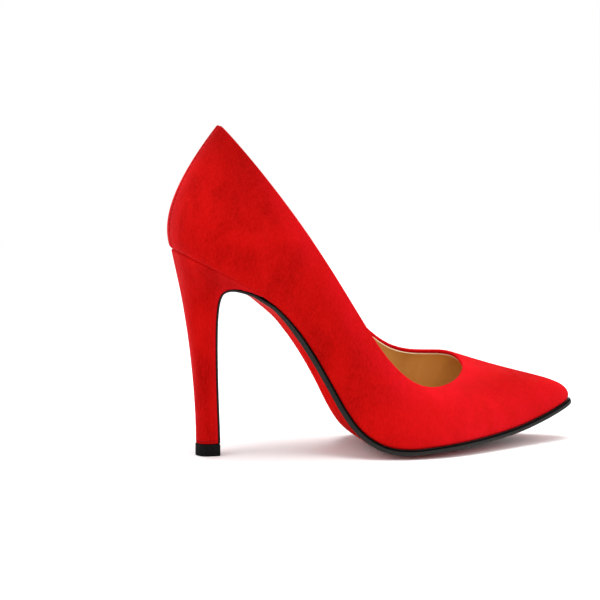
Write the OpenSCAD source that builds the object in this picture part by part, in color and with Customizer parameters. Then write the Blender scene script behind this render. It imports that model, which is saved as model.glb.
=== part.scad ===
// Pointed stiletto court shoe, right foot, EU 37, as separate pieces.
// Millimetres. Origin: middle of the heel tip on the ground.
// +X to the toe, +Y to the inner side of the foot, +Z up.

/* [Upper] */
// Thickness of the suede
suede_t = 0.9; // [0.7:0.1:1.2]
// Thickness of the cloth backer
backer_t = 0.4; // [0.3:0.1:0.5]
// Thickness of counter, toe puff and tapes
stiff_t = 0.6; // [0.5:0.1:0.8]
// Thickness of the lining leather
lining_t = 0.65; // [0.5:0.05:0.8]
// Glue gap between two layers
glue = 0.05; // [0.03:0.01:0.08]
// Width of the gap at a closed seam
seam_gap = 0.5; // [0.3:0.1:0.8]
// Longest reach of the lasting margin under the insole
margin = 11; // [8:1:12]

/* [Bottom] */
// Thickness of the insole board
insole_t = 2; // [1.6:0.1:2.4]
// Thickness of the outsole at the forepart
sole_t = 2.9; // [2.6:0.1:3.4]
// Thickness of the outsole at the waist
waist_t = 3.2; // [2.4:0.1:3.4]
// Thickness of the sole flap on the heel breast
flap_t = 1.2; // [0.8:0.1:1.4]
// How far the forepart sole stands out past the upper
welt = 1.2; // [0.6:0.1:1.6]
// Thickness of the forepart tread
tread_t = 1.7; // [1.6:0.1:2]
// Glue gap between the upper and the outsole
sole_gap = 0.2; // [0.1:0.05:0.3]
// Thickness of the sock leather
sock_t = 0.8; // [0.6:0.1:1]
// Thickness of the foam under the sock
foam_t = 1; // [0.8:0.1:1.5]
// Extra foam thickness under the heel
heel_foam = 1.2; // [0.5:0.1:2]

/* [Shank] */
// Width of the steel shank
shank_w = 10; // [8:0.5:11]
// Thickness of the steel shank
shank_t = 1.6; // [1.2:0.1:1.8]
// Rivet diameter
rivet_d = 3; // [2.4:0.1:3.2]

/* [Heel] */
// Radius of the rounded back of the heel tip
tip_r = 6.2; // [5.5:0.1:6.5]
// Height of the top piece
top_piece_h = 6.2; // [5:0.1:7]
// Diameter of the top piece pin
pin_d = 3; // [2.6:0.1:3.2]
// Length of the pin above the top piece
pin_len = 19; // [16:1:22]
// Clearance round the pin, on the radius
pin_clear = 0.05; // [0.03:0.01:0.09]
// Outer diameter of the heel pin tube
tube_d = 5; // [4.6:0.1:5.4]
// Length of the heel pin tube
tube_len = 58; // [50:1:62]
// Thickness of the suede heel cover
cover_t = 0.8; // [0.6:0.1:1]

/* [Hidden] */
// Bottom of the last in side view: x and z, heel to toe.
profile = [[-42, 118.8], [-30, 113.5], [-18.4, 108], [-5, 101.2], [9, 94],
  [23, 85.4], [34, 76.6], [44, 65.6], [53, 52.5], [61, 38.5], [69, 23],
  [76, 13.5], [86, 7.2], [98, 5.2], [112, 5.8], [130, 7.2], [150, 9.2],
  [168, 12], [185, 16.3], [201, 22], [214, 27.5], [227, 33]];
seg = 10;
// Ribs round the upper, from the back seam along the outer side:
// place along the sole and y of the feather edge, first handle,
// topline point, last handle.
ribs = [
  [-1, 0, -3.6, 0, 13, 5, 0, 172.6, -26.7, 0, -34],
  [1, -15, -3.6, -5, 13, 6.8, -7.5, 170, -23.8, -7, -32],
  [15, -27, -2, -6, 14, 13, -14, 162.5, -14, -10, -28],
  [38, -27.5, 1, -4, 15, 26.4, -20.5, 145.5, -8, -9, -24],
  [63, -23, 5, -3, 14, 44.5, -24.5, 121, -6, -5, -18],
  [88, -19.5, 8, -4, 12, 60.5, -27, 96.5, -6, -3, -14],
  [112, -20, 9, -5, 9, 75, -28.5, 72.5, -7, -3, -12],
  [135, -31, 6, -3, 10, 89.5, -30, 49.5, -5, -3, -10],
  [160, -40, 2, 0, 12, 105.5, -28.5, 36.5, -1, -6, -7],
  [187, -37.5, 0, 0, 11, 118.5, -23.5, 34.8, 4, -7, -4],
  [214, -25.5, 1, 0, 11, 129, -16, 36.5, 12, -6, -3],
  [240, -13, 2, -1, 11, 135.5, -8.5, 39, 22, -4, -5],
  [260, -6, 3, -1, 11.3, 139, -2.5, 42, 34, -2, -8],
  [267.5, 0.5, 3.5, 0, 11.7, 140.3, 4, 43, 39, 0, -8.9],
  [260, 7, 3, 1, 11.5, 139.6, 10, 45.7, 34, 2, -8.6],
  [241, 15, 2, 1, 11, 136.5, 16, 47.8, 24, 4, -7.5],
  [215, 28, 1, 0, 11, 130, 22, 47.6, 13, 6, -6],
  [189, 38.5, 0, 0, 12, 120, 27, 46.9, 5, 7, -6],
  [162, 39, 2, 0, 13, 107, 29.5, 49.4, 0, 5, -9],
  [138, 27, 6, 3, 11, 92, 29, 61, -5, 3, -12],
  [114, 15, 9, 7, 10, 77, 28, 80, -7, 3, -13],
  [89, 14.5, 8, 6, 12, 61, 26, 102, -6, 3, -15],
  [64, 22, 5, 3, 14, 44.5, 23.5, 124.5, -6, 5, -18],
  [38, 26.5, 1, 4, 15, 27, 20, 146.5, -8, 9, -24],
  [15, 26.5, -2, 6, 14, 13, 14, 163, -14, 10, -28],
  [1, 15, -3.6, 5, 13, 6.8, 7.5, 170, -23.8, 7, -32]];
turns = len(ribs);
per = 3;
cols = turns * per;
// Column of the inner side seam.
side_seam = 61;

// Depths of the layers, measured in from the outer face.
backer_in = suede_t + glue;
stiff_in = backer_in + backer_t + glue;
lining_in = stiff_in + stiff_t + glue;
inside = lining_in + lining_t;

function clamp(v, a, b) = min(max(v, a), b);
function smooth(v, a, b) = let (k = clamp((v - a) / (b - a), 0, 1)) k * k * (3 - 2 * k);
function mix(a, b, k) = a * (1 - k) + b * k;
function unit(v) = v / norm(v);

function catmull(a, b, c, d, k) = 0.5 * (2 * b + (c - a) * k
  + (2 * a - 5 * b + 4 * c - d) * k * k + (3 * b - a - 3 * c + d) * k * k * k);
line = [for (i = [1 : len(profile) - 3], k = [0 : seg - 1])
  catmull(profile[i - 1], profile[i], profile[i + 1], profile[i + 2], k / seg)];
arc = [for (i = 0, s = 0; i < len(line);
  s = s + (i + 1 < len(line) ? norm(line[i + 1] - line[i]) : 0), i = i + 1) s];
line_x = [for (i = [0 : len(line) - 1]) [arc[i] - arc[seg], line[i][0]]];
line_z = [for (i = [0 : len(line) - 1]) [arc[i] - arc[seg], line[i][1]]];
// Point and normal of the last bottom at distance s from the back.
function low(s) = [lookup(s, line_x), lookup(s, line_z)];
function low_n(s) = let (d = unit(low(s + 1) - low(s - 1))) [-d[1], d[0]];
// The forepart is slightly round across and the inner arch is raised.
function belly(s) = 0.8 * smooth(s, 140, 175) * (1 - smooth(s, 225, 262));
function arch(s) = 4.5 * smooth(s, 55, 92) * (1 - smooth(s, 136, 170));
function lift(p) = (p[1] > 0 ? arch(p[0]) * (1 - exp(-p[1] * p[1] / 144)) : 0)
  - belly(p[0]) * (1 - min(1, p[1] * p[1] / 1500));
// Solid point from a plan point p on the last bottom, at height h above it.
function on_sole(p, h) = let (c = low(p[0]), n = low_n(p[0]), g = h + lift(p))
  [c[0] + n[0] * g, p[1], c[1] + n[1] * g];

// Uniform cubic spline round the ribs.
function rib(t) = let (i = floor(t), k = t - i,
  a = ribs[(i + turns - 1) % turns], b = ribs[(i + turns) % turns],
  c = ribs[(i + 1) % turns], d = ribs[(i + 2) % turns])
  (pow(1 - k, 3) * a + (3 * k * k * k - 6 * k * k + 4) * b
  + (3 * k * k - 3 * k * k * k + 3 * k + 1) * c + k * k * k * d) / 6;
function plan(t) = let (r = rib(t)) [r[0], r[1]];
// Plan point moved in from the feather edge by d.
function inset(t, d) = let (p = plan(t), v = unit(plan(t + 0.05) - plan(t - 0.05 + turns)))
  p + d * [-v[1], v[0]];
function reach(t) = let (p = inset(t, 2.5), q = [clamp(p[0], 24, 222), 0])
  mix(p, q, min(margin, 0.5 * norm(q - p)) / norm(q - p));

// Rows up a rib: distances from the feather edge, then from the topline.
mids = 5;
function levels(r) = let (a = 4 / (3 * norm([r[2], r[3], r[4]])),
  e = 3 * norm([r[8], r[9], r[10]]), b = 1 - 8 / e)
  [0, a, for (k = [1 : mids]) mix(a, b, k / (mids + 1)), b,
  1 - 3 / e, 1 - 2.6 / e, 1 - 2.2 / e, 1 - 0.6 / e, 1];
function bez(a, b, c, d, s) = pow(1 - s, 3) * a + 3 * s * pow(1 - s, 2) * b
  + 3 * s * s * (1 - s) * c + s * s * s * d;
function ends(r) = let (f = on_sole([r[0], r[1]], 0), t = [r[5], r[6], r[7]])
  [f, f + [r[2], r[3], r[4]], t + [r[8], r[9], r[10]], t];
function wall(e, s) = bez(e[0], e[1], e[2], e[3], s);
// Outer face and its normals on the column grid.
face = [for (i = [0 : cols - 1]) let (r = rib(i / per), e = ends(r))
  [for (s = levels(r)) wall(e, s)]];
lean = [for (i = [0 : cols - 1])
  let (r = rib(i / per), e = ends(r), u = ends(rib(i / per + turns - 0.1)),
  v = ends(rib(i / per + 0.1)))
  [for (s = levels(r)) let (k = clamp(s, 0.02, 0.98))
  unit(cross(wall(v, k) - wall(u, k), wall(e, k + 0.02) - wall(e, k - 0.02)))]];
rows = len(face[0]);
// One column of a layer at depth d: margin tip, feather corner, wall.
function column(i, d) = let (c = (i + cols) % cols, t = c / per)
  [on_sole(reach(t), d), on_sole(inset(t, d), d),
  for (j = [1 : rows - 1]) face[c][j] - (is_list(d) ? d[j] : d) * lean[c][j]];
function rimmed(i, d) = let (c = (i + cols) % cols, t = c / per)
  [on_sole(reach(t), d[0]), on_sole(inset(t, d[0]), d[0]),
  for (j = [1 : rows - 1]) face[c][j] - d[j] * lean[c][j]];
function flat_depth(d) = [for (j = [0 : rows - 1]) d];
// Columns a to b of a layer, the end ones moved in by gap.
function sheet(a, b, d, gap) = let (g = [for (i = [a : b]) rimmed(i, d)], n = len(g) - 1)
  [for (i = [0 : n]) i == 0 ? [for (j = [0 : len(g[0]) - 1])
  g[0][j] + gap * unit(g[1][j] - g[0][j])]
  : i == n ? [for (j = [0 : len(g[0]) - 1]) g[n][j] + gap * unit(g[n - 1][j] - g[n][j])]
  : g[i]];
function take(g, a, b) = [for (c = g) [for (j = [a : b]) c[j]]];

// Closed solid between two grids of points with the same layout.
module slab(g, h) {
  n = len(g);
  m = len(g[0]);
  q = n * m;
  polyhedron(points = [for (c = g) for (p = c) p, for (c = h) for (p = c) p],
    faces = [
    for (i = [0 : n - 2], j = [0 : m - 2]) each [
      [i * m + j, i * m + j + 1, i * m + m + j + 1],
      [i * m + j, i * m + m + j + 1, i * m + m + j],
      [q + i * m + j, q + i * m + m + j + 1, q + i * m + j + 1],
      [q + i * m + j, q + i * m + m + j, q + i * m + m + j + 1]],
    for (i = [0 : n - 2]) each [
      [i * m, i * m + m, q + i * m + m],
      [i * m, q + i * m + m, q + i * m],
      [i * m + m - 1, q + i * m + 2 * m - 1, i * m + 2 * m - 1],
      [i * m + m - 1, q + i * m + m - 1, q + i * m + 2 * m - 1]],
    for (j = [0 : m - 2]) each [
      [j, q + j + 1, j + 1],
      [j, q + j, q + j + 1],
      [q - m + j, q - m + j + 1, 2 * q - m + j + 1],
      [q - m + j, 2 * q - m + j + 1, 2 * q - m + j]]]);
}
// Closed ring between two grids whose columns run all the way round.
module band(g, h) {
  n = len(g);
  m = len(g[0]);
  q = n * m;
  polyhedron(points = [for (c = g) for (p = c) p, for (c = h) for (p = c) p],
    faces = [
    for (i = [0 : n - 1], j = [0 : m - 2]) let (a = i * m, b = ((i + 1) % n) * m) each [
      [a + j, a + j + 1, b + j + 1],
      [a + j, b + j + 1, b + j],
      [q + a + j, q + b + j + 1, q + a + j + 1],
      [q + a + j, q + b + j, q + b + j + 1]],
    for (i = [0 : n - 1]) let (a = i * m, b = ((i + 1) % n) * m) each [
      [a, b, q + b],
      [a, q + b, q + a],
      [a + m - 1, q + b + m - 1, b + m - 1],
      [a + m - 1, q + a + m - 1, q + b + m - 1]]]);
}

// Depths of the suede: the topline edge is folded in over the layers.
skin_out = [for (j = [0 : rows - 1]) j == rows - 1 ? 0.5 : 0];
skin_in = [for (j = [0 : rows - 1]) j == rows - 1 ? lining_in - 0.5
  : j > rows - 4 ? lining_in - glue : suede_t];
module suede(a, b) {
  slab(sheet(a, b, skin_out, seam_gap / 2), sheet(a, b, skin_in, seam_gap / 2));
}
module layer(a, b, j0, j1, d0, d1, gap) {
  slab(take(sheet(a, b, flat_depth(d0), gap), j0, j1),
    take(sheet(a, b, flat_depth(d1), gap), j0, j1));
}

module vamp_and_lateral_quarter() {
  color([0.78, 0.05, 0.06]) suede(0, side_seam);
}
module medial_quarter() {
  color([0.76, 0.05, 0.06]) suede(side_seam, cols);
}
module upper_backer() {
  color([0.9, 0.88, 0.82])
    band([for (c = [0 : cols - 1]) take([rimmed(c, flat_depth(backer_in))], 0, rows - 4)[0]],
    [for (c = [0 : cols - 1]) take([rimmed(c, flat_depth(backer_in + backer_t))], 0, rows - 4)[0]]);
}
module topline_tape() {
  color([0.95, 0.95, 0.92])
    band([for (c = [0 : cols - 1]) take([rimmed(c, flat_depth(stiff_in))], rows - 5, rows - 4)[0]],
    [for (c = [0 : cols - 1]) take([rimmed(c, flat_depth(stiff_in + stiff_t))], rows - 5, rows - 4)[0]]);
}
module heel_counter() {
  color([0.72, 0.62, 0.48]) layer(-16, 16, 0, 6, stiff_in, stiff_in + stiff_t, 0);
}
module toe_puff() {
  color([0.8, 0.76, 0.66]) layer(32, 46, 0, 4, stiff_in, stiff_in + stiff_t, 0);
}
module back_seam_tape() {
  color([0.93, 0.93, 0.9]) layer(-1, 1, 7, rows - 5, stiff_in, stiff_in + stiff_t, 0);
}
module side_seam_tape() {
  color([0.93, 0.93, 0.9])
    layer(side_seam - 1, side_seam + 1, 1, rows - 5, stiff_in, stiff_in + stiff_t, 0.5);
}
module vamp_lining() {
  color([0.8, 0.62, 0.38]) layer(19, 59, 0, rows - 1, lining_in, inside, 0.1);
}
module quarter_lining() {
  color([0.82, 0.65, 0.42]) layer(-19, 19, 0, rows - 1, lining_in, inside, 0.1);
}

// Cross line of a plate: points across between two plan points.
across = 6;
function rung(p, q, h) = [for (k = [0 : across]) let (m = mix(p, q, k / across))
  on_sole(m, h)];
function sock_base() = inside + glue + insole_t + glue;
function foam_top(s) = sock_base() + foam_t + heel_foam * (1 - smooth(s, 60, 95));
insole_in = inside + 0.5;
module plate(ts, d, top, bottom) {
  slab([for (t = ts) rung(inset(t, d), inset(turns - t, d), top)],
    [for (t = ts) rung(inset(t, d), inset(turns - t, d), bottom)]);
}
// A frame that stands on the last bottom at a plan point.
module stand(p, h) {
  n = low_n(p[0]);
  translate(on_sole(p, h)) rotate([0, 90 - atan2(n[1], n[0]), 0]) children();
}
screw_at = [21, 0];
nails_at = [[18.5, -7.5], [18.5, 7.5], [27, -8], [27, 8]];
rivets_at = [[60, -1], [132, -1]];
base_h = inside + glue;
module insole_board() {
  color([0.7, 0.56, 0.38]) difference() {
    plate([for (k = [1 : 37]) k / 3], insole_in, base_h + insole_t, base_h);
    stand(screw_at, base_h - 2) cylinder(h = 6, d = 4.1, $fn = 32);
    stand(screw_at, base_h + insole_t - 1) cylinder(h = 4, d = 8.1, $fn = 32);
    for (p = nails_at) stand(p, base_h - 2) cylinder(h = 6, d = 2.1, $fn = 24);
    for (p = nails_at) stand(p, base_h + insole_t - 0.6) cylinder(h = 4, d = 4.6, $fn = 24);
    for (p = rivets_at) stand(p, base_h - 2) cylinder(h = 6, d = rivet_d + 0.1, $fn = 24);
    for (p = rivets_at) stand(p, base_h + insole_t - 0.6)
      cylinder(h = 4, d = rivet_d + 2.1, $fn = 24);
  }
}
module steel_shank() {
  color([0.7, 0.72, 0.74]) difference() {
    slab([for (s = [42 : 6 : 150]) let (w = min(shank_w / 2, 3 + (s - 42) / 3, 3 + (150 - s) / 3))
      [for (k = [0 : 4]) on_sole([s, -1 - w + w * k / 2], base_h - glue)]],
      [for (s = [42 : 6 : 150]) let (w = min(shank_w / 2, 3 + (s - 42) / 3, 3 + (150 - s) / 3))
      [for (k = [0 : 4]) on_sole([s, -1 - w + w * k / 2], base_h - glue - shank_t)]]);
    for (p = rivets_at) stand(p, -2) cylinder(h = 8, d = rivet_d + 0.1, $fn = 24);
  }
}
module shank_rivets() {
  color([0.76, 0.74, 0.68]) for (p = rivets_at) {
    stand(p, base_h - glue - shank_t - 0.5) cylinder(h = insole_t + glue + shank_t + 0.3,
      d = rivet_d, $fn = 24);
    stand(p, base_h + insole_t - 0.55) cylinder(h = 0.35, d = rivet_d + 2, $fn = 24);
    stand(p, base_h - glue - shank_t - 0.65) cylinder(h = 0.6, d = rivet_d + 1, $fn = 24);
  }
}
module bottom_filler() {
  color([0.62, 0.45, 0.3])
    slab([for (k = [24 : 35]) let (t = k / 3)
    rung(filler_side(t), filler_side(turns - t), base_h - glue)],
    [for (k = [24 : 35]) let (t = k / 3) rung(filler_side(t), filler_side(turns - t), glue)]);
}
function filler_side(t) = let (p = reach(t), q = [clamp(p[0], 24, 222), 0])
  p + 0.6 * unit(q - p);
module insock_foam() {
  color([0.93, 0.9, 0.8])
    slab([for (k = [1 : 37]) let (t = k / 3, p = inset(t, insole_in + 0.6),
    q = inset(turns - t, insole_in + 0.6)) rung(p, q, foam_top(p[0]))],
    [for (k = [1 : 37]) let (t = k / 3) rung(inset(t, insole_in + 0.6),
    inset(turns - t, insole_in + 0.6), sock_base())]);
}
module insock() {
  color([0.83, 0.67, 0.44])
    slab([for (k = [1 : 37]) let (t = k / 3, p = inset(t, insole_in + 0.2),
    q = inset(turns - t, insole_in + 0.2)) rung(p, q, foam_top(p[0]) + glue + sock_t)],
    [for (k = [1 : 37]) let (t = k / 3, p = inset(t, insole_in + 0.2),
    q = inset(turns - t, insole_in + 0.2)) rung(p, q, foam_top(p[0]) + glue)]);
}

// Edge where heel side, heel breast and sole flap meet: x, z, half width.
lip_t = 3.42;
breast = [[23.4, 85, 21.5], [19.2, 86.9, 20.4], [14.7, 88.3, 18.9], [10.3, 89, 16.9],
  [6.7, 88.3, 14.5], [4.2, 85.9, 12], [3, 81.4, 10], [2.4, 75, 9.1], [2.2, 66.4, 8.5],
  [2.5, 52, 7.5], [3, 38, 6.9], [3.7, 24, 6.3], [4.3, 12, 5.8], [4.5, 6.5, 5.5]];
// Heights of the back of the heel on the same levels.
back_z = [108, 105, 101, 96.5, 91.5, 86, 80, 74, 66, 52, 38, 24, 12, 6.5];
// How much of the seat outline is left at each level.
fade = [1, 0.87, 0.74, 0.6, 0.47, 0.36, 0.28, 0.22, 0.16, 0.1, 0.06, 0.03, 0.01, 0];
steps = 10;
// Seat outline and tip outline, u from -1 (outer corner) over 0 (back) to 1.
function seat(u, d) = inset(u < 0 ? -u * lip_t : turns - u * lip_t, d);
function tip(u, d) = let (v = abs(u), c = 4.5, r = tip_r - 0.3 - d, s = u < 0 ? -1 : 1)
  v > 0.6 ? [mix(0.1, c, (v - 0.6) / 0.4), s * mix(r, r - 0.2, (v - 0.6) / 0.4)]
  : [0.1 - r * cos(v * 150), s * r * sin(v * 150)];
function edge(j, u) = [breast[j][0], (u < 0 ? -1 : 1) * breast[j][2], breast[j][1]];
heel_top = on_sole(seat(0, 0.6), -0.15);
function back(j) = let (k = (back_z[j] - 6.5) / 101.5)
  [-tip_r + 0.4 + (heel_top[0] + tip_r - 0.4) * pow(k, 1.9), 0, back_z[j]];
heel = [for (i = [-steps : steps]) let (u = i / steps, v = abs(u),
  w = 1 - v, top = on_sole(seat(u, 0.6), -0.15), bot = [tip(u, 0)[0], tip(u, 0)[1], 6.5],
  e0 = edge(0, u), e1 = edge(13, u), b1 = back(13),
  more0 = top - mix(e0, heel_top, w), more1 = bot - mix(e1, b1, w))
  [for (j = [0 : 13]) j == 0 ? top : mix(edge(j, u), back(j), w)
  + more0 * fade[j] + more1 * (1 - fade[j])]];
function near(i, n) = clamp(i, 0, n);
// Heel grid moved in by d; its top row stays on the seat and its front
// edges stay just behind the sole flap.
function heel_in(d, seat_d) = [for (i = [0 : 2 * steps]) [for (j = [0 : 13])
  j == 0 ? on_sole(seat(i / steps - 1, seat_d), -0.15)
  : let (n = unit(cross(heel[near(i + 1, 2 * steps)][j] - heel[near(i - 1, 2 * steps)][j],
  heel[i][near(j + 1, 13)] - heel[i][j - 1])),
  f = flap_n(j), e = heel[i][j], q = e - d * n,
  p = i % (2 * steps) == 0 ? [e[0] - 0.15 * f[0], q[1], e[2] - 0.15 * f[1]] : q)
  j == 13 ? [p[0], p[1], 6.5] : p]];
module heel_cover() {
  color([0.75, 0.05, 0.06]) slab(heel, heel_in(cover_t, 2.2));
}
module heel_solid(g) {
  n = len(g);
  m = 14;
  polyhedron(points = [for (c = g) for (p = c) p],
    faces = [
    for (i = [0 : n - 2], j = [0 : m - 2]) each [
      [i * m + j, i * m + m + j + 1, i * m + j + 1],
      [i * m + j, i * m + m + j, i * m + m + j + 1]],
    for (j = [0 : m - 2]) each [
      [j, j + 1, (n - 1) * m + j + 1],
      [j, (n - 1) * m + j + 1, (n - 1) * m + j]],
    for (i = [0 : steps - 1]) let (k = n - 1 - i) each (i == steps - 1
      ? [[i * m, k * m, (i + 1) * m]]
      : [[i * m, k * m, (i + 1) * m], [(i + 1) * m, k * m, (k - 1) * m]]),
    [for (i = [0 : n - 1]) i * m + m - 1]]);
}
tube_x = -0.9;
module heel_core() {
  color([0.2, 0.2, 0.21]) difference() {
    heel_solid(heel_in(cover_t + 0.05, 2.3));
    translate([tube_x, 0, 0]) cylinder(h = 6.5 + tube_len + 0.1, d = tube_d + 0.04, $fn = 48);
    stand(screw_at, -20) cylinder(h = 30, d = 3.9, $fn = 32);
    for (p = nails_at) stand(p, -9) cylinder(h = 17, d = 1.94, $fn = 24);
  }
}
module heel_pin_tube() {
  color([0.66, 0.67, 0.69]) translate([tube_x, 0, 6.5]) difference() {
    cylinder(h = tube_len, d = tube_d, $fn = 48);
    translate([0, 0, -1]) cylinder(h = tube_len + 2, d = pin_d + 2 * pin_clear, $fn = 48);
  }
}
module heel_screw() {
  color([0.72, 0.72, 0.7]) {
    stand(screw_at, -19.5) cylinder(h = 19.5 + base_h + insole_t - 0.5, d = 3.86, $fn = 32);
    stand(screw_at, base_h + insole_t - 0.98) cylinder(h = 0.9, d = 8, $fn = 32);
  }
}
module heel_nails() {
  color([0.6, 0.6, 0.6]) for (p = nails_at) {
    stand(p, -8.5) cylinder(h = 8.5 + base_h + insole_t - 0.3, d = 1.9, $fn = 24);
    stand(p, base_h + insole_t - 0.58) cylinder(h = 0.5, d = 4.5, $fn = 24);
  }
}

// Outsole: from the toe to the heel lip on the last bottom, then down
// the heel breast as a thin flap.
function sole_at(s) = mix(waist_t, sole_t, smooth(s, 140, 175)) - 1.2 * (1 - smooth(s, 50, 80));
function out_by(s) = -welt * smooth(s, 120, 160) - 0.1;
function sole_side(t) = let (p = plan(t)) inset(t, out_by(p[0]));
function flap_n(j) = let (a = breast[near(j - 1, 13)], b = breast[near(j + 1, 13)],
  d = unit([b[0] - a[0], b[1] - a[1]])) [-d[1], d[0]];
function flap_rung(j, h) = let (n = flap_n(j), v = [n[0] * h, 0, n[1] * h])
  [for (k = [0 : across]) mix(heel[0][j], heel[2 * steps][j], k / across) + v];
function flap_at(j) = mix(sole_at(50) - 0.2, flap_t, smooth(j, 0, 5));
sole_ts = [12.85, 12.67, for (k = [37 : -1 : 11]) k / 3];
module outsole() {
  color([0.12, 0.02, 0.02])
    slab([for (t = sole_ts) rung(sole_side(t), sole_side(turns - t), -sole_gap),
    for (j = [1 : 13]) flap_rung(j, glue)],
    [for (t = sole_ts) let (p = plan(t)) rung(sole_side(t), sole_side(turns - t),
    -glue - sole_at(p[0])),
    for (j = [1 : 13]) flap_rung(j, glue + flap_at(j))]);
}
// The tread stays well inside the edge, thins to the toe and is worn
// flat where the ball of the foot stands.
function tread_side(t, k) = let (p = inset(t, 3)) mix(p, [p[0], 0.5], k);
function tread_at(s) = mix(tread_t, 0.7, smooth(s, 175, 225));
module tread_pad() {
  color([0.22, 0.06, 0.07]) intersection() {
    slab([for (k = [24 : 34]) let (t = k / 3, s = plan(t)[0])
      rung(tread_side(t, 0.3), tread_side(turns - t, 0.3), -2 * glue - sole_at(s))],
      [for (k = [24 : 34]) let (t = k / 3, s = plan(t)[0]) rung(tread_side(t, 0.32),
      tread_side(turns - t, 0.32), -2 * glue - sole_at(s) - tread_at(s))]);
    translate([50, -60, 0]) cube([150, 120, 60]);
  }
}

module d_block(r, front, h) {
  intersection() {
    union() {
      translate([0.1, 0, 0]) cylinder(h = h, r = r, $fn = 64);
      translate([0.1, -r, 0]) cube([front - 0.1, 2 * r, h]);
    }
    translate([-20, -r, 0]) cube([20 + front, 2 * r, h]);
  }
}
module top_piece() {
  color([0.06, 0.06, 0.06]) difference() {
    d_block(tip_r, 5.8, top_piece_h);
    translate([tube_x, 0, 2]) cylinder(h = top_piece_h, d = pin_d + 0.04, $fn = 48);
    translate([tube_x, 0, 2]) cylinder(h = 1.5, d = 6.04, $fn = 48);
  }
}
module top_piece_pin() {
  color([0.75, 0.76, 0.78]) translate([tube_x, 0, 2]) {
    cylinder(h = 1.46, d = 6, $fn = 48);
    cylinder(h = top_piece_h - 2 + pin_len - 0.5, d = pin_d, $fn = 48);
    translate([0, 0, top_piece_h - 2 + pin_len - 0.5])
      cylinder(h = 0.5, d1 = pin_d, d2 = pin_d - 1, $fn = 48);
  }
}
// Thread seen in the closed seams: short bars lying in the gap.
module seam_stitches() {
  color([0.35, 0.02, 0.03]) {
    for (j = [2 : rows - 3], k = [0.2, 0.6]) thread(0, j, k);
    for (j = [2 : rows - 6], k = [0.3]) thread(side_seam, j, k);
  }
}
module thread(i, j, k) {
  a = face[i][j] - 0.45 * lean[i][j];
  b = face[i][j + 1] - 0.45 * lean[i][j + 1];
  p = mix(a, b, k);
  d = unit(b - a);
  translate(p) rotate([0, acos(d[2]), atan2(d[1], d[0])])
    cylinder(h = 1.6, d = 0.3, $fn = 8);
}

vamp_and_lateral_quarter();
medial_quarter();
upper_backer();
topline_tape();
heel_counter();
toe_puff();
back_seam_tape();
side_seam_tape();
vamp_lining();
quarter_lining();
seam_stitches();
insole_board();
steel_shank();
shank_rivets();
bottom_filler();
insock_foam();
insock();
outsole();
tread_pad();
heel_core();
heel_cover();
heel_pin_tube();
heel_screw();
heel_nails();
top_piece();
top_piece_pin();
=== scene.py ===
"""A red suede stiletto court shoe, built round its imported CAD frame.

The surfaces repeat the shape functions of part.scad at a fine step, in
millimetres, and are turned to metres when a mesh is made.
"""

import math

import bpy
import numpy as np
from mathutils import Matrix, Vector


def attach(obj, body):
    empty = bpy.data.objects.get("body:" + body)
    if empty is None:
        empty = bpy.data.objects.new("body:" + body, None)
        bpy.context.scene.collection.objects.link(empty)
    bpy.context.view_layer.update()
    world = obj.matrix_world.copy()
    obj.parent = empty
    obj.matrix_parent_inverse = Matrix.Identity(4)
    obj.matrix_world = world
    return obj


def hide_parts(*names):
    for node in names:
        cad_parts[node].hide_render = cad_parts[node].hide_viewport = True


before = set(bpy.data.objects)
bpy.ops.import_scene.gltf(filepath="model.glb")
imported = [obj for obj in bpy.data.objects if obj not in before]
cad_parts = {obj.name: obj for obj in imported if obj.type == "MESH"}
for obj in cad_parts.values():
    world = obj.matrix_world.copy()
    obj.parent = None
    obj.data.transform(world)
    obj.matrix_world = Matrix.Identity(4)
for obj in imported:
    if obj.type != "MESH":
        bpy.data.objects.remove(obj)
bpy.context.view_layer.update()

# ---------------------------------------------------------------- shape

# Bottom of the last in side view: x and z, heel to toe.
PROFILE = np.array([
    [-42, 118.8], [-30, 113.5], [-18.4, 108], [-5, 101.2], [9, 94],
    [23, 85.4], [34, 76.6], [44, 65.6], [53, 52.5], [61, 38.5], [69, 23],
    [76, 13.5], [86, 7.2], [98, 5.2], [112, 5.8], [130, 7.2], [150, 9.2],
    [168, 12], [185, 16.3], [201, 22], [214, 27.5], [227, 33]])
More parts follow.
